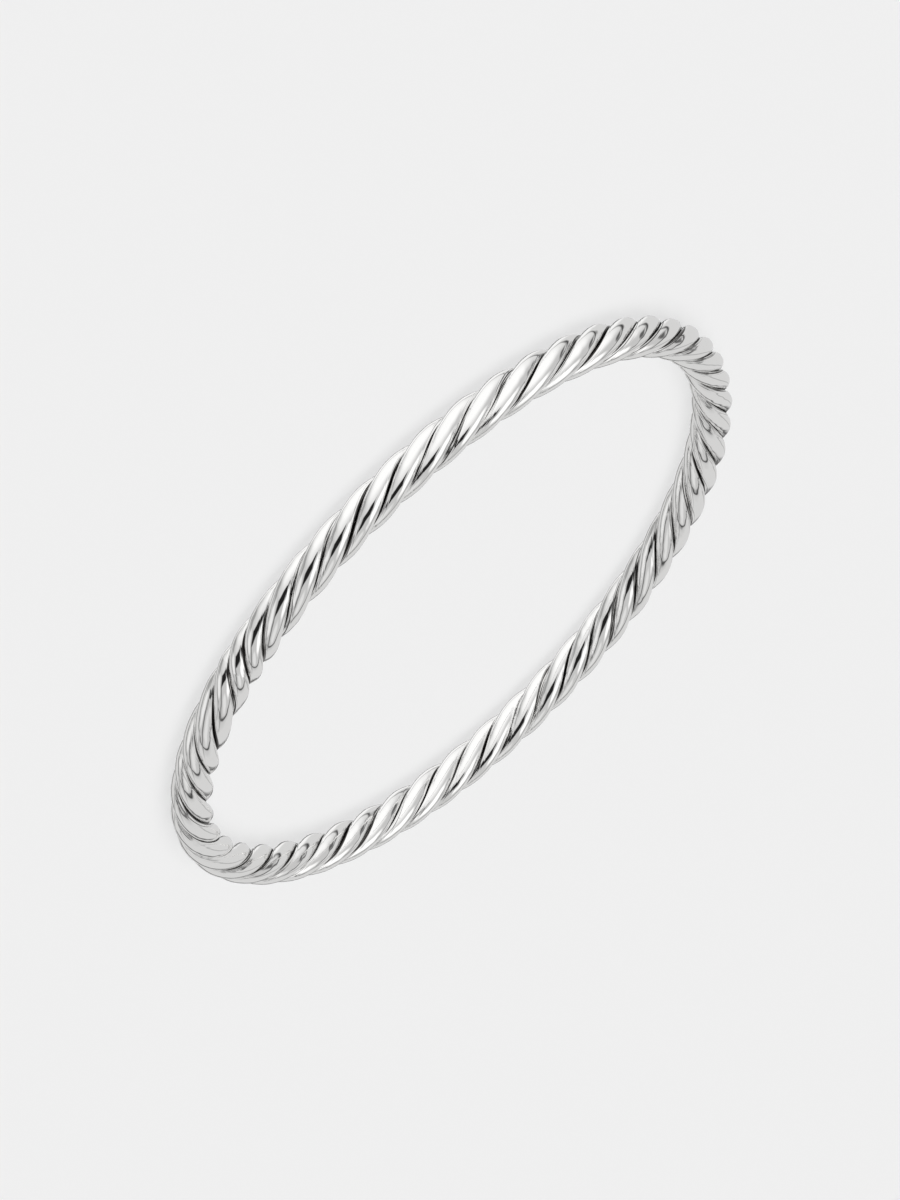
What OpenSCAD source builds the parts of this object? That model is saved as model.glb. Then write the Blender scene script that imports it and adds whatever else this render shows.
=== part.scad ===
// Closed twisted bangle: four thick wires laid round each other as a rope, whose ends are joined
// into a loop. It lies on its side, with the loop round the Z axis and its lowest crests at z = 0.

/* [Loop] */
// Diameter of the loop, measured along the middle of the rope
loop_d = 67; // [60:0.5:80]
// How far the loop bulges and flattens three times round, as one closed by hand does
three_sided = 0.24; // [0:0.02:0.5]
// How far the loop bulges and flattens four times round
four_sided = 0.15; // [0:0.01:0.3]

/* [Rope] */
// Thickness of the rope over the crests of its wires
rope_d = 4; // [3:0.1:5]
// Thickness of one wire as a share of the rope's
wire_share = 0.455; // [0.43:0.005:0.5]
// Width of the seam left between two neighbouring wires
seam = 0.04; // [0.02:0.01:0.08]
// Width of the hollow left along the middle of the rope
core_d = 0.4; // [0.2:0.05:0.6]

/* [Twist] */
// Full turns that each wire makes round the rope in one loop, without the extra one at the joint
wire_turns = 12; // [8:1:14]
// Angle of the first wire in degrees round the rope, at the place 0 on the loop
start_angle = 38; // [0:1:89]
// How far the twist runs ahead and behind once round the loop, in degrees
drift_once = 24; // [0:1:40]
// How far the twist runs ahead and behind twice round the loop, in degrees
drift_twice = 23; // [0:1:40]
// Place on the loop where the second drift is furthest behind, in degrees
drift_place = 35; // [0:1:180]

/* [Joint] */
// Place on the loop where the ends of the rope are joined, in degrees
joint_place = 302; // [0:1:359]
// Wires by which the rope is turned on at the joint, where each end meets a later wire's start
joint_shift = 1; // [0:1:2]
// How far to each side of the joint the rope is turned on, in degrees
joint_reach = 9; // [8:1:60]
// How far the twist stays behind past the joint, in degrees
joint_lag = 24; // [0:1:40]
// How far past the joint the twist has caught up again, in degrees
joint_settle = 28; // [24:1:60]

/* [Detail] */
// Flat faces across the round outside of one wire
arc_steps = 8; // [6:1:10]
// Rings of points in each turn of a wire
rings_per_turn = 16; // [12:1:20]

/* [Hidden] */
wire_count = 4;
silver = [0.86, 0.86, 0.87];

// Round outside of a wire, seen in a cut square across the rope: the wire crosses that cut at the
// lay angle, so its circle shows there as an ellipse, stretched sideways.
wire_r = rope_d * wire_share / 2;
lay_r = rope_d / 2 - wire_r;
lay_angle = atan(lay_r * wire_turns / (loop_d / 2));
side_r = wire_r / cos(lay_angle);

// The side of a wire is flat where it presses on the next one, half a seam inside the plane that
// parts them. A point on that flat is given by how far out from the middle of the rope it lies.
half_angle = 180 / wire_count;
function on_flat(out) = [
    out * cos(half_angle) + seam / 2 * sin(half_angle),
    out * sin(half_angle) - seam / 2 * cos(half_angle)
];

// Where the flat meets the ellipse: the larger root of a quadratic in the distance out
flat_start = seam / 2 * sin(half_angle) - lay_r;
flat_drop = seam / 2 * cos(half_angle);
root_a = pow(cos(half_angle) / wire_r, 2) + pow(sin(half_angle) / side_r, 2);
root_b = 2 * (flat_start * cos(half_angle) / pow(wire_r, 2) - flat_drop * sin(half_angle) / pow(side_r, 2));
root_c = pow(flat_start / wire_r, 2) + pow(flat_drop / side_r, 2) - 1;
groove_r = (sqrt(root_b * root_b - 4 * root_a * root_c) - root_b) / (2 * root_a);
groove = on_flat(groove_r);
arc_end = atan2(groove[1] / side_r, (groove[0] - lay_r) / wire_r);

// Section of one wire, with the middle of the rope at [0, 0] and the wire's crest on the X axis:
// the round outside from one flat to the other, then the two ends of the flats at the core.
tip = on_flat(core_d / 2);
section = [
    for (step = [0 : arc_steps]) let (a = arc_end * (2 * step / arc_steps - 1))
        [lay_r + wire_r * cos(a), side_r * sin(a)],
    tip,
    [tip[0], -tip[1]]
];
last_flat = len(section) - 1;

// Middle of the rope and turn of the wires at the place t degrees round the loop
function loop_r(t) = loop_d / 2 - three_sided * sin(3 * t) - four_sided * cos(4 * t);
function twist(t) = start_angle + wire_turns * t
    - drift_once * cos(t) - drift_twice * cos(2 * (t - drift_place)) + turned_on(t);

// Half of the turning on lies on each side of the joint, and it fades out within the joint's reach.
// Past the joint the twist stays behind for a while.
function turned_on(t) =
    let (since = min((t - joint_place) / joint_reach, 1),
         left = min((joint_place + 360 - t) / joint_reach, 1),
         past = min((t - joint_place) / joint_settle, 1))
    joint_shift * half_angle * (sin(90 * since) - sin(90 * left)) - joint_lag * (1 - cos(360 * past)) / 2;

// A section point carried to its place round the loop, with the rope's middle still at z = 0
function placed(point, t, turn) =
    let (across = point[0] * cos(turn) - point[1] * sin(turn),
         up = point[0] * sin(turn) + point[1] * cos(turn),
         r = loop_r(t) + across)
    [r * cos(t), r * sin(t), up];

// A wire runs from the joint once round to the joint, and its ends stand half a seam clear of it
last_ring = wire_turns * rings_per_turn;
end_clear = seam / loop_d * 180 / PI;
function wire_points(index) = [
    for (ring = [0 : last_ring])
        let (t = joint_place + end_clear + (360 - 2 * end_clear) * ring / last_ring)
            for (point = section) placed(point, t, twist(t) + 360 * index / wire_count)
];

// Two triangles between neighbouring rings. On the last flat they are split along the other
// diagonal, so that the flats of two neighbouring wires stay parallel all along the seam.
function patch(ring, side) =
    let (count = len(section),
         next_side = (side + 1) % count,
         a = ring * count + side,
         b = ring * count + next_side,
         c = b + count,
         d = a + count)
    side == last_flat ? [[a, b, d], [b, c, d]] : [[a, b, c], [a, c, d]];
wire_faces = [
    for (ring = [0 : last_ring - 1]) for (side = [0 : last_flat]) each patch(ring, side),
    [for (side = [last_flat : -1 : 0]) side],
    [for (side = [0 : last_flat]) last_ring * len(section) + side]
];

// Shift that stands the finished loop on z = 0 with its box centred on the Z axis
all_points = [for (index = [0 : wire_count - 1]) each wire_points(index)];
function lowest(axis) = min([for (p = all_points) p[axis]]);
function highest(axis) = max([for (p = all_points) p[axis]]);
rest_shift = [-(lowest(0) + highest(0)) / 2, -(lowest(1) + highest(1)) / 2, -lowest(2)];

// One wire of the rope, once round the loop
module wire(number) {
    color(silver)
        translate(rest_shift)
            polyhedron(points = wire_points(number - 1), faces = wire_faces, convexity = 10);
}

wire(1);  // wire_1
wire(2);  // wire_2
wire(3);  // wire_3
wire(4);  // wire_4
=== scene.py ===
import math

import bpy
import numpy as np
from mathutils import Matrix, Vector


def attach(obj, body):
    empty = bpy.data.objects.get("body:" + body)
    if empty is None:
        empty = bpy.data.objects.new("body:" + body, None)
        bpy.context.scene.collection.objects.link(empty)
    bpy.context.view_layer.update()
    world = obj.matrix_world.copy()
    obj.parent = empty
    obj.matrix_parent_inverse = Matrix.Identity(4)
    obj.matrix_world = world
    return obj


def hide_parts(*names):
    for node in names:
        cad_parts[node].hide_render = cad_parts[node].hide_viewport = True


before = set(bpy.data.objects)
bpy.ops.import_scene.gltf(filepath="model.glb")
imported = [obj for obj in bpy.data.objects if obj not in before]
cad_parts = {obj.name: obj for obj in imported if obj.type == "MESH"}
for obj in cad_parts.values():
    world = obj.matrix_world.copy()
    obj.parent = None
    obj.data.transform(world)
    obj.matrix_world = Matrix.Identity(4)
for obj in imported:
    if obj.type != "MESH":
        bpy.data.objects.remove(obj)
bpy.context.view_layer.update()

scene = bpy.context.scene
scene.view_settings.view_transform = "Standard"

# The rope, with the same sizes as the solid wires, in metres and degrees
rope = {
    "loopDiameter": 0.067,  # along the middle of the rope
    "threeSided": 0.00024,  # out of round, three times and four times round
    "fourSided": 0.00015,
    "ropeDiameter": 0.004,  # over the crests of the wires
    "wireShare": 0.455,  # one wire's thickness as a share of the rope's
    "seam": 0.00004,  # between neighbouring wires
    "core": 0.0004,  # hollow along the middle of the rope
    "wireTurns": 12,  # without the quarter turn at the joint
    "startAngle": 38,  # of the first wire, at the place 0 on the loop
    "driftOnce": 24,  # the twist runs ahead and behind, once and twice round
    "driftTwice": 23,
    "driftPlace": 35,  # where the second drift is furthest behind
    "jointPlace": 302,  # where the ends of the rope are joined
    "jointShift": 1,  # each wire's end meets the start of the wire this many further
    "jointReach": 9,  # how far to each side the rope is turned on for that
    "jointLag": 24,  # how far the twist stays behind past the joint
    "jointSettle": 28,  # how far past the joint it has caught up again
    "endClear": 0.0001,  # half of the slit between the ends, too narrow to be seen
    "edgeRounding": 0.00002,  # where a wire's round side turns into its pressed flat
    "edgeDetail": 0.0006,  # how many more points go to those edges
    "outlineDetail": 4000,  # points of the outline before it is thinned out
    "stepsAround": 80,  # points of the outline that are kept
    "ringsPerTurn": 80,  # rings of them in each turn of a wire
    "unevenHeight": 0.0000035,  # slight waves left by drawing and twisting the wire by hand
    "unevenWaves": 26,
    "unevenFrom": 50,  # fewest crests of such a wave round the loop
    "unevenTo": 190,  # and the most
    "unevenLobes": 3,  # most crests of such a wave round the wire
    "unevenSeed": 12,
}
wireCount = 4
chance = np.random.default_rng(rope["unevenSeed"])

# A speckled spill of solder in the seams
spill = {
    "place": 82.4,  # degrees round the loop
    "length": 3.0,  # from its middle to where it thins out, in degrees
    "fadeFrom": 0.5,  # the thinning out, as shares of that length
    "fadeEnd": 1.5,
    "fill": 0.00011,  # height of the solder
    "lumps": 0.35,  # how much of it comes and goes along the seam
    "lumpWaves": (170, 233, 311),  # round the loop
    "fillFrom": 0.17,  # depth in the seam, as a share of the rope's radius
    "fillFull": 0.30,
    "fillEnd": 0.42,
}


def smoothLeast(values, rounding):
    # Least of several curves, with the corners between them rounded
    values = np.array(values)
    least = values.min(axis=0)
    return least - rounding * np.log(np.exp(-(values - least) / rounding).sum(axis=0))


def wireSection():
    # Outline of one wire in a cut across the rope, and how far each point lies down in the seam
    wireRadius = rope["ropeDiameter"] * rope["wireShare"] / 2
    layRadius = rope["ropeDiameter"] / 2 - wireRadius
    layAngle = math.atan(layRadius * rope["wireTurns"] / (rope["loopDiameter"] / 2))
    sideRadius = wireRadius / math.cos(layAngle)
    halfAngle = math.pi / wireCount
    turn = np.linspace(-math.pi, math.pi, rope["outlineDetail"], endpoint=False)
    roundSide = 1 / np.hypot(np.cos(turn) / wireRadius, np.sin(turn) / sideRadius)
    flatAway = layRadius * math.sin(halfAngle) - rope["seam"] / 2
    coreAway = layRadius - rope["core"] / 2
    leastLean, farAway = 0.05, 1.0  # a flat seen nearly end on counts as out of reach

    def flatSide(facing, away):
        # How far a flat lies from the wire's middle in each direction
        lean = np.cos(turn - facing)
        return np.where(lean > leastLean, away / np.maximum(lean, leastLean), farAway)

    reach = smoothLeast([
        roundSide,
        flatSide(math.pi / 2 + halfAngle, flatAway),
        flatSide(-math.pi / 2 - halfAngle, flatAway),
        flatSide(math.pi, coreAway),
    ], rope["edgeRounding"])
    fine = np.stack([layRadius + reach * np.cos(turn), reach * np.sin(turn)], axis=1)

    # The points are spread by length and by how sharply the outline bends
    step = np.roll(fine, -1, axis=0) - fine
    heading = np.arctan2(step[:, 1], step[:, 0])
    bend = np.abs((heading - np.roll(heading, 1) + math.pi) % (2 * math.pi) - math.pi)
    share = np.hypot(step[:, 0], step[:, 1]) + rope["edgeDetail"] * bend
    share = np.concatenate([[0], np.cumsum(share)])
    wanted = np.linspace(0, share[-1], rope["stepsAround"], endpoint=False)
    closed = np.concatenate([fine, fine[:1]])
    outline = np.stack([np.interp(wanted, share, closed[:, axis])
                        for axis in range(2)], axis=1)
    fromMiddle = np.hypot(outline[:, 0], outline[:, 1])
    depth = (rope["ropeDiameter"] / 2 - fromMiddle) / (rope["ropeDiameter"] / 2)
    return outline, depth


def smoothStep(value, low, high):
    share = np.clip((value - low) / (high - low), 0, 1)
    return share * share * (3 - 2 * share)


def spillShare(place, depth):
    # How much solder lies at each ring and each point of the outline
    away = np.abs((np.degrees(place) - spill["place"] + 180) % 360 - 180) / spill["length"]
    inSeam = (smoothStep(depth, spill["fillFrom"], spill["fillFull"])
              * (1 - smoothStep(depth, spill["fillFull"], spill["fillEnd"])))
    return np.outer(1 - smoothStep(away, spill["fadeFrom"], spill["fadeEnd"]), inSeam)


def loopRadius(place):
    return (rope["loopDiameter"] / 2 - rope["threeSided"] * np.sin(3 * place)
            - rope["fourSided"] * np.cos(4 * place))


def twistAt(place):
    # Turn of the wires round the rope, with half of the turning on at each side of the joint.
    # Past the joint the twist stays behind for a while.
    fromJoint = np.degrees(place) - rope["jointPlace"]
    since = np.clip(fromJoint / rope["jointReach"], 0, 1)
    left = np.clip((360 - fromJoint) / rope["jointReach"], 0, 1)
    past = np.clip(fromJoint / rope["jointSettle"], 0, 1)
    turnedOn = (rope["jointShift"] * math.pi / wireCount
                * (np.sin(math.pi / 2 * since) - np.sin(math.pi / 2 * left))
                - math.radians(rope["jointLag"]) * (1 - np.cos(2 * math.pi * past)) / 2)
    return (math.radians(rope["startAngle"]) + rope["wireTurns"] * place + turnedOn
            - math.radians(rope["driftOnce"]) * np.cos(place)
            - math.radians(rope["driftTwice"])
            * np.cos(2 * (place - math.radians(rope["driftPlace"]))))


def ringPlaces():
    # Places of a wire's rings, from the joint once round to the joint
    share = np.linspace(0, 1, rope["wireTurns"] * rope["ringsPerTurn"] + 1)
    return np.radians(rope["jointPlace"] + rope["endClear"]
                      + (360 - 2 * rope["endClear"]) * share)


def uneven(place, fromMiddle):
    # Height of the waves at every ring and every point round the wire
    around = np.arctan2(fromMiddle[:, 1], fromMiddle[:, 0])
    height = np.zeros((len(place), len(around)))
    for wave in range(rope["unevenWaves"]):
        along = chance.integers(rope["unevenFrom"], rope["unevenTo"])
        lobes = chance.integers(-rope["unevenLobes"], rope["unevenLobes"] + 1)
        start = chance.uniform(0, 2 * math.pi)
        height += np.sin(along * place[:, None] + lobes * around + start)
    return height * rope["unevenHeight"] / math.sqrt(rope["unevenWaves"] / 2)


def wirePoints(number):
    # Points of one wire, ring after ring, round the loop's own middle
    place = ringPlaces()
    turn = (twistAt(place) + 2 * math.pi * number / wireCount)[:, None]
    middle = section.mean(axis=0)
    swell = 1 + uneven(place, section - middle) / np.linalg.norm(section - middle, axis=1)
    x = middle[0] + (section[:, 0] - middle[0]) * swell
    y = middle[1] + (section[:, 1] - middle[1]) * swell
    lump = 1 - spill["lumps"] * np.mean([
        np.sin(wave * place + chance.uniform(0, 2 * math.pi)) for wave in spill["lumpWaves"]
    ], axis=0)
    raised = spill["fill"] * lump[:, None] * spillShare(place, seamDepth)
    outwards = 1 + raised / np.hypot(x, y)
    x, y = x * outwards, y * outwards
    across = np.cos(turn) * x - np.sin(turn) * y
    up = np.sin(turn) * x + np.cos(turn) * y
    out = loopRadius(place)[:, None] + across
    return np.stack([out * np.cos(place)[:, None], out * np.sin(place)[:, None], up], axis=2)


section, seamDepth = wireSection()
wires = [wirePoints(number) for number in range(wireCount)]
everyPoint = np.concatenate([points.reshape(-1, 3) for points in wires])
lowCorner, highCorner = everyPoint.min(axis=0), everyPoint.max(axis=0)
restShift = np.array([-(lowCorner[0] + highCorner[0]) / 2,
                      -(lowCorner[1] + highCorner[1]) / 2, -lowCorner[2]])
loopMiddle = Vector(restShift)  # the middle of the rope's own circle
print("rope laid out: shift", [round(float(v), 6) for v in restShift])


# Polished silver. A noise is given by its scale and its detail, and a stretch by how fast its
# noise changes along the wire, from wire to wire and round the wire.
silver = {
    "brightColor": (0.955, 0.95, 0.94),
    "seamShadeColor": (0.06, 0.056, 0.053),  # painted shade, dark down between the wires
    "seamFrom": 0.215,  # depth at which the painted shade starts, as a share of the rope's radius
    "seamFull": 0.305,
    "seamBroken": 0.06,  # how much the edge of the painted shade is broken up
    "brokenNoise": (900, 4),
    "seamWander": 0.05,  # how much it swells and thins along the seam
    "wanderNoise": (210, 1),
    "seamStreaks": 0.75,  # how far the pressed marks carry it up the sides of the seam
    "seamRoughness": 0.3,  # how much rougher it is than the polished metal
    "marksFrom": 0.07,  # depth at which the marks of pressing start
    "marksFull": 0.20,
    "markStretch": (70, 70, 6000),
    "markHeight": 0.00006,
    "speckNoise": (3200, 2),  # bright specks in the spill of solder
    "speckFrom": 0.38,  # noise at which a speck starts
    "speckFull": 0.52,
    "speckHeight": 0.000012,
    "roughness": 0.03,
    "hazeRoughness": 0.035,  # added where the polishing haze is thickest
    "hazeNoise": (260, 3),
    "hazeFrom": 0.35,  # noise at which the haze starts
    "hazeFull": 0.75,
    "scratchStretch": (300, 300, 9000),
    "scratchHeight": 0.0000006,
    "lineDetail": 2,  # detail of the marks and the scratches
}


def addNode(tree, kind, inputs=None, **settings):
    # A shader node with its settings made, and its inputs set to values or linked to outputs
    node = tree.nodes.new(kind)
    for name, value in settings.items():
        setattr(node, name, value)
    for socket, value in (inputs or {}).items():
        if isinstance(value, bpy.types.NodeSocket):
            tree.links.new(value, node.inputs[socket])
        else:
            node.inputs[socket].default_value = value
    return node


def calculate(tree, operation, *values, kind="ShaderNodeMath", result=0):
    # The result of one sum on values and outputs
    return addNode(tree, kind, dict(enumerate(values)), operation=operation).outputs[result]


def fade(tree, value, low, high, atLow, atHigh, interpolation="SMOOTHSTEP"):
    # One level where the value is low, another where it is high, and a slope between them
    return addNode(tree, "ShaderNodeMapRange", {
        "Value": value, "From Min": low, "From Max": high, "To Min": atLow, "To Max": atHigh,
    }, interpolation_type=interpolation).outputs["Result"]


def makeSilver():
    material = bpy.data.materials.new("polishedSilver")
    material.use_nodes = True
    tree = material.node_tree
    shader = tree.nodes["Principled BSDF"]
    shader.inputs["Metallic"].default_value = 1.0
    along = addNode(tree, "ShaderNodeAttribute", attribute_name="alongWire").outputs["Vector"]
    depth = addNode(tree, "ShaderNodeAttribute", attribute_name="seamDepth").outputs["Fac"]
    solder = addNode(tree, "ShaderNodeAttribute", attribute_name="solder").outputs["Fac"]
    place = addNode(tree, "ShaderNodeTexCoord").outputs["Object"]
    noiseMiddle = 0.5  # a noise goes up and down about this

    def noise(vector, scale, detail):
        return addNode(tree, "ShaderNodeTexNoise", {
            "Vector": vector, "Scale": scale, "Detail": detail}).outputs["Fac"]

    def lines(stretch):
        # Noise that is drawn out along the wire
        drawnOut = addNode(tree, "ShaderNodeMapping", {"Vector": along, "Scale": stretch})
        return noise(drawnOut.outputs["Vector"], 1, silver["lineDetail"])

    # Long marks down the sides of the seams, where the wires were pressed together
    marks = calculate(tree, "SUBTRACT", lines(silver["markStretch"]), noiseMiddle)
    nearSeam = fade(tree, depth, silver["marksFrom"], silver["marksFull"], 0, 1)
    marks = calculate(tree, "MULTIPLY", marks, nearSeam)

    # Painted shade in the seams: the depth, moved by the marks and by two noises
    edge = calculate(tree, "MULTIPLY_ADD", marks, silver["seamStreaks"], depth)
    edge = calculate(tree, "MULTIPLY_ADD", noise(place, *silver["wanderNoise"]),
                     silver["seamWander"], edge)
    edge = calculate(tree, "MULTIPLY_ADD", noise(place, *silver["brokenNoise"]),
                     silver["seamBroken"], edge)
    moved = noiseMiddle * (silver["seamBroken"] + silver["seamWander"])
    paintedSeamShade = fade(tree, edge, silver["seamFrom"] + moved, silver["seamFull"] + moved, 0, 1)

    # Bright specks in the painted shade where the solder was spilled
    specks = fade(tree, noise(place, *silver["speckNoise"]),
                  silver["speckFrom"], silver["speckFull"], 0, 1, "LINEAR")
    specks = calculate(tree, "MULTIPLY", solder, specks)
    paintedShadeShare = addNode(tree, "ShaderNodeMath", {0: paintedSeamShade, 1: specks},
                      operation="SUBTRACT", use_clamp=True).outputs[0]
    # The dark seam colour is painted shade between the wires, laid over the bright silver
    color = addNode(tree, "ShaderNodeMix", {
        "Factor": paintedShadeShare, 6: (*silver["brightColor"], 1), 7: (*silver["seamShadeColor"], 1),
    }, data_type="RGBA")
    tree.links.new(color.outputs[2], shader.inputs["Base Color"])

    # Polishing haze in soft patches, and rougher metal in the seams
    haze = fade(tree, noise(place, *silver["hazeNoise"]), silver["hazeFrom"], silver["hazeFull"],
                silver["roughness"], silver["roughness"] + silver["hazeRoughness"], "LINEAR")
    rough = calculate(tree, "MULTIPLY_ADD", paintedShadeShare, silver["seamRoughness"], haze)
    tree.links.new(rough, shader.inputs["Roughness"])

    # Hair scratches that run along the wire, with the marks and the specks over them
    heights = [(lines(silver["scratchStretch"]), silver["scratchHeight"]),
               (marks, silver["markHeight"]),
               (specks, silver["speckHeight"])]
    normal = None
    for height, distance in heights:
        raised = addNode(tree, "ShaderNodeBump", {
            "Height": height, "Distance": distance, "Strength": 1})
        if normal:
            tree.links.new(normal, raised.inputs["Normal"])
        normal = raised.outputs["Normal"]
    tree.links.new(normal, shader.inputs["Normal"])
    return material


silverMaterial = makeSilver()
print("polished silver made")


# How a wire's skin is laid out for baking, in rows one above the other
bakeLayout = {
    "rows": 6,  # for the skin, of whole turns each; the two end faces take one row more
    "endMargin": 0.004,  # left clear at the ends of a row and at its sides
    "sideMargin": 0.03,
    "faceSize": 0.5,  # of an end face, as a share of a row's height
    "faceLift": 0.25,  # of its lower side in that row
}


def layOut(mesh, around):
    # Bake map of a wire, corner by corner in the order of the faces
    rings = rope["wireTurns"] * rope["ringsPerTurn"]
    sides = rope["stepsAround"]
    perRow = rings // bakeLayout["rows"]
    slots = bakeLayout["rows"] + 1
    ring, side = np.meshgrid(np.arange(rings), np.arange(sides), indexing="ij")
    row = ring // perRow
    share = np.append(around, around[-1] + np.linalg.norm(section[0] - section[-1]))
    share = share / share[-1]
    corners = []
    for ringStep, sideStep in ((0, 0), (1, 0), (1, 1), (0, 1)):
        u = (ring + ringStep - row * perRow) / perRow
        v = share[side + sideStep]
        u = bakeLayout["endMargin"] + (1 - 2 * bakeLayout["endMargin"]) * u
        v = bakeLayout["sideMargin"] + (1 - 2 * bakeLayout["sideMargin"]) * v
        corners.append(np.stack([u, (row + v) / slots], axis=2))
    corners = np.stack(corners, axis=2).reshape(-1, 2)

    # The two end faces, each in a square of its own
    low, high = section.min(axis=0), section.max(axis=0)
    endFace = (section - low) / (high - low).max() * bakeLayout["faceSize"] / slots
    endSpot = np.array([bakeLayout["sideMargin"], (slots - 1 + bakeLayout["faceLift"]) / slots])
    nextSpot = endSpot + np.array([1 / slots, 0])
    corners = np.concatenate([corners, endSpot + endFace, nextSpot + endFace[::-1]])
    layer = mesh.uv_layers.new(name="OFBake")
    layer.uv.foreach_set("vector", corners.astype(np.float32).ravel())


def makeWire(number):
    points = wires[number] + restShift
    rings, sides = points.shape[:2]
    mesh = bpy.data.meshes.new(f"wire_{number + 1}_silver")
    ring, side = np.meshgrid(np.arange(rings - 1), np.arange(sides), indexing="ij")
    nextSide = (side + 1) % sides
    faces = np.stack([ring * sides + side, (ring + 1) * sides + side,
                      (ring + 1) * sides + nextSide, ring * sides + nextSide], axis=2)
    lastPoint = rings * sides - 1
    ends = [list(range(sides)), list(range(lastPoint, lastPoint - sides, -1))]
    mesh.from_pydata(points.reshape(-1, 3).tolist(), [], faces.reshape(-1, 4).tolist() + ends)
    mesh.shade_smooth()
    pairs = np.empty(len(mesh.edges) * 2, np.int32)
    mesh.edges.foreach_get("vertices", pairs)
    ringOf = pairs.reshape(-1, 2) // sides
    atEnd = (ringOf[:, 0] == ringOf[:, 1]) & np.isin(ringOf[:, 0], (0, rings - 1))
    mesh.edges.foreach_set("use_edge_sharp", atEnd)  # the end faces keep their corners
    depth = mesh.attributes.new("seamDepth", "FLOAT", "POINT")
    depth.data.foreach_set("value", np.tile(seamDepth, rings).astype(np.float32))
    solder = mesh.attributes.new("solder", "FLOAT", "POINT")
    solderShare = spillShare(ringPlaces(), seamDepth)
    solder.data.foreach_set("value", solderShare.ravel().astype(np.float32))
    around = np.concatenate([[0], np.cumsum(np.linalg.norm(np.diff(section, axis=0), axis=1))])
    layOut(mesh, around)

    # Places on the wire: length along it, its number, and length round it
    steps = np.linalg.norm(np.diff(points.mean(axis=1), axis=0), axis=1)
    along = np.zeros((rings, sides, 3), np.float32)
    along[:, :, 0] = np.concatenate([[0], np.cumsum(steps)])[:, None]
    along[:, :, 1] = number
    along[:, :, 2] = around[None, :]
    alongWire = mesh.attributes.new("alongWire", "FLOAT_VECTOR", "POINT")
    alongWire.data.foreach_set("vector", along.ravel())
    piece = bpy.data.objects.new(f"wire_{number + 1}_silver", mesh)
    scene.collection.objects.link(piece)
    mesh.materials.append(silverMaterial)
    piece.visible_diffuse = False  # no glow from the bright tent on the floor beside it
    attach(piece, "root")
    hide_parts(f"wire_{number + 1}")


for number in range(wireCount):
    makeWire(number)
print("wires made:", wireCount)


# Pale floor. The metal shows the light tent in its place.
floor = {
    "size": 6.0,
    "color": (0.86, 0.86, 0.86),
    "roughness": 0.9,
}


def makeFloor():
    half = floor["size"] / 2
    mesh = bpy.data.meshes.new("floor")
    mesh.from_pydata([(-half, -half, 0), (half, -half, 0), (half, half, 0), (-half, half, 0)],
                     [], [(0, 1, 2, 3)])
    material = bpy.data.materials.new("paleFloor")
    material.use_nodes = True
    shader = material.node_tree.nodes["Principled BSDF"]
    shader.inputs["Base Color"].default_value = (*floor["color"], 1)
    shader.inputs["Roughness"].default_value = floor["roughness"]
    shader.inputs["Specular IOR Level"].default_value = 0.0
    mesh.materials.append(material)
    piece = bpy.data.objects.new("floor", mesh)
    piece.visible_glossy = False
    scene.collection.objects.link(piece)


makeFloor()


# Sun lamps for the floor, one of them without shadow, so that it stays pale and even
floorLamps = {
    "even": {"strength": 1.87, "spread": 1, "shadow": False},  # spread in degrees
    "soft": {"strength": 1.30, "spread": 70, "shadow": True},
}


def makeFloorLamp(name, settings):
    data = bpy.data.lights.new(f"{name}_floor_lamp", "SUN")
    data.energy = settings["strength"]
    data.angle = math.radians(settings["spread"])
    data.use_shadow = settings["shadow"]
    lamp = bpy.data.objects.new(data.name, data)
    lamp.visible_glossy = False
    scene.collection.objects.link(lamp)


for name, settings in floorLamps.items():
    makeFloorLamp(name, settings)
print("floor and its lamps made:", len(floorLamps), "lamps")


# Where the picture is taken from
view = {
    "distance": 0.6067,  # from the loop's middle, in metres
    "elevation": 21.62,  # above the floor, in degrees
    "roll": -134.47,
    "lens": 188.67,  # in millimetres, as is the sensor
    "sensor": 36,
    "aimRight": -0.00078,  # from the loop's middle, in the picture's own directions
    "aimUp": 0.00068,
    "clipStart": 0.01,
    "clipEnd": 20,
}


def viewDirections():
    lift, roll = math.radians(view["elevation"]), math.radians(view["roll"])
    towards = Vector((0, -math.cos(lift), math.sin(lift)))
    level, upright = Vector((1, 0, 0)), Vector((0, math.sin(lift), math.cos(lift)))
    right = math.cos(roll) * level - math.sin(roll) * upright
    up = math.sin(roll) * level + math.cos(roll) * upright
    return right, up, towards


pictureRight, pictureUp, towardsView = viewDirections()


def makeCamera():
    data = bpy.data.cameras.new("camera")
    data.lens = view["lens"]
    data.sensor_width = view["sensor"]
    data.clip_start, data.clip_end = view["clipStart"], view["clipEnd"]
    camera = bpy.data.objects.new("camera", data)
    spot = loopMiddle + towardsView * view["distance"]
    target = loopMiddle + pictureRight * view["aimRight"] + pictureUp * view["aimUp"]
    back = (spot - target).normalized()
    right = pictureUp.cross(back).normalized()
    up = back.cross(right)
    turned = Matrix((right, up, back)).transposed().to_4x4()
    camera.matrix_world = Matrix.Translation(spot) @ turned
    scene.collection.objects.link(camera)
    scene.camera = camera


makeCamera()
print("camera placed:", round(view["distance"], 3), "m away")


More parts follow.
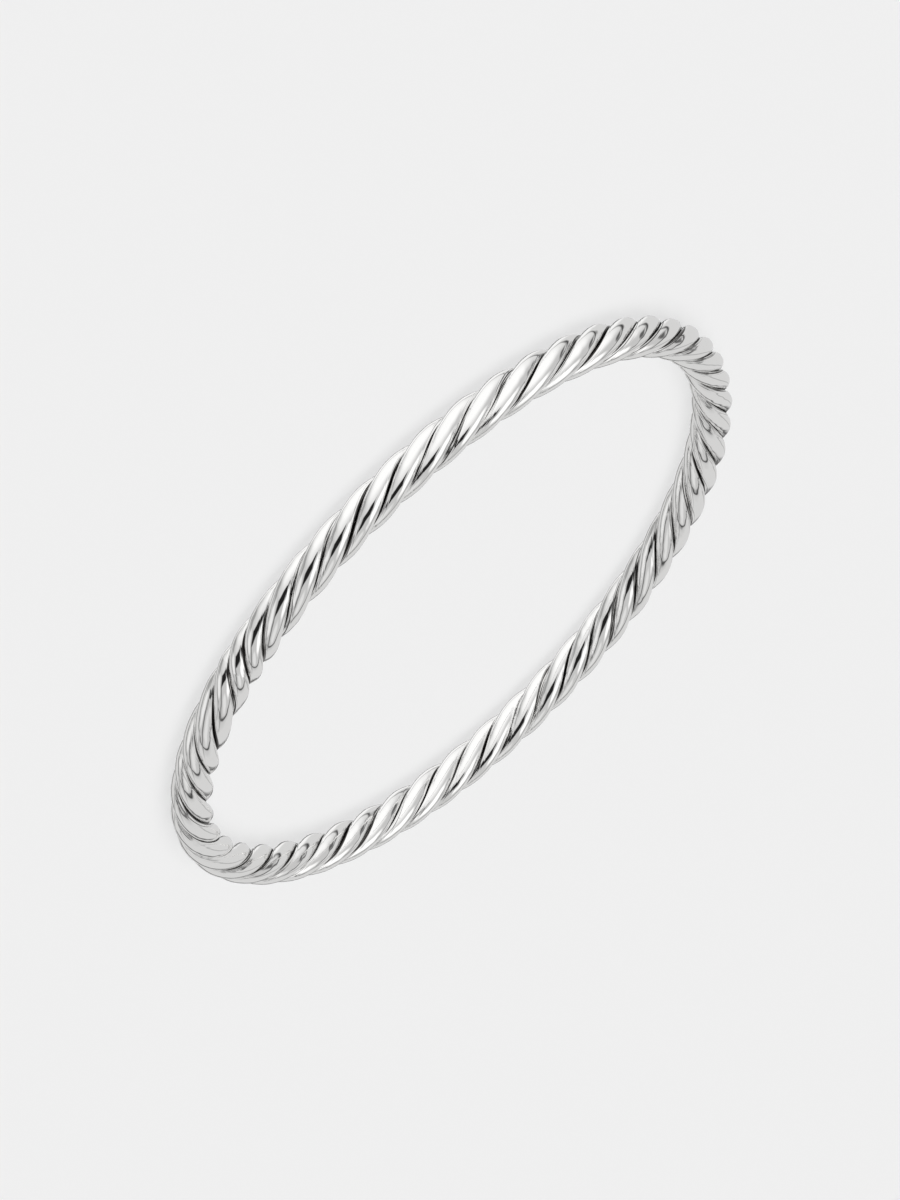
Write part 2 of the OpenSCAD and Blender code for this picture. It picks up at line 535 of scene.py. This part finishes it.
# Light tent, laid out as a chrome ball shows it from the picture's side: x to the right and
# y up from the ball's middle, from -1 to 1. Later cards lie over earlier ones.
tent = {
    "back": 0.68,  # brightness of the cloth behind the ball and in front of it
    "front": 0.58,
    "backEdge": 0.77,  # how far from the ball's middle the one turns into the other
    "backSoftness": 0.04,  # to each side of that edge
    "cards": [
        # name, shape, x, y, half width, half height, turn, softness, brightness
        ("top rim", "oval", -0.42, 0.78, 0.55, 0.17, 30, 0.5, 0.98),
        ("far edge", "ring", 0.055, 0.03, 0.985, 0.985, 0, 0.035, 0.10),
        ("tent seam", "ring", 0.02, 0.08, 0.765, 0.79, 0, 0.034, 0.05),
        ("left gap", "oval", -0.60, 0.17, 0.07, 0.20, 16, 0.35, 0.33),
        ("lower gap", "oval", -0.24, -0.45, 0.065, 0.31, -2, 0.45, 0.21),
        ("low disc", "oval", 0.10, -0.53, 0.17, 0.13, 20, 0.35, 0.76),
        ("left disc", "oval", -0.475, -0.20, 0.12, 0.24, 14, 0.35, 0.86),
        ("right gap", "oval", 0.655, 0.38, 0.03, 0.26, 27, 0.6, 0.12),
        ("lower right gap", "oval", 0.72, -0.34, 0.045, 0.30, -80, 0.5, 0.45),
        ("lower left gap", "oval", -0.67, -0.56, 0.06, 0.28, -64, 0.4, 0.48),
        ("softbox skirt", "oval", -0.02, 0.40, 0.46, 0.43, -10, 0.32, 0.82),
        ("main softbox", "oval", -0.07, 0.50, 0.42, 0.32, 0, 0.42, 1.05),
        ("side softbox", "oval", 0.49, -0.165, 0.17, 0.25, -20, 0.28, 1.12),
        ("dark card", "box", -0.01, -0.115, 0.23, 0.115, 14, 0.2, 0.015),
    ],
}


def makeTent():
    world = bpy.data.worlds.new("lightTent")
    scene.world = world
    world.cycles_visibility.diffuse = False  # the floor has lamps of its own
    world.use_nodes = True
    tree = world.node_tree

    def vectors(operation, *values, result=0):
        return calculate(tree, operation, *values, kind="ShaderNodeVectorMath", result=result)

    # The spot on the ball that would reflect a direction to the picture's side
    direction = addNode(tree, "ShaderNodeTexCoord").outputs["Generated"]
    outwards = vectors("NORMALIZE", vectors("ADD", direction, towardsView))
    spot = addNode(tree, "ShaderNodeCombineXYZ", {
        "X": vectors("DOT_PRODUCT", outwards, pictureRight, result="Value"),
        "Y": vectors("DOT_PRODUCT", outwards, pictureUp, result="Value"),
    }).outputs[0]
    fromMiddle = vectors("LENGTH", spot, result="Value")
    light = fade(tree, fromMiddle, tent["backEdge"] - tent["backSoftness"],
                 tent["backEdge"] + tent["backSoftness"], tent["front"], tent["back"])

    # On a card its own edge lies at 1, whatever its size and turn
    for name, shape, x, y, wide, high, turn, softness, brightness in tent["cards"]:
        onCard = addNode(tree, "ShaderNodeMapping", {
            "Vector": spot, "Location": (x, y, 0), "Rotation": (0, 0, math.radians(turn)),
            "Scale": (wide, high, 1),
        }, vector_type="TEXTURE").outputs[0]
        if shape == "box":
            sides = addNode(tree, "ShaderNodeSeparateXYZ", {0: vectors("ABSOLUTE", onCard)})
            away = calculate(tree, "MAXIMUM", sides.outputs["X"], sides.outputs["Y"])
        else:
            away = vectors("LENGTH", onCard, result="Value")
        if shape == "ring":
            fromRing = calculate(tree, "ABSOLUTE", calculate(tree, "SUBTRACT", away, 1))
            covered = fade(tree, fromRing, 0, softness, 1, 0)
        else:
            covered = fade(tree, away, 1 - softness, 1 + softness, 1, 0)
        light = addNode(tree, "ShaderNodeMix", {
            "Factor": covered, 2: light, 3: brightness,
        }, data_type="FLOAT", name=name).outputs[0]
    tree.links.new(light, tree.nodes["Background"].inputs["Color"])


makeTent()
print("light tent made:", len(tent["cards"]), "cards")
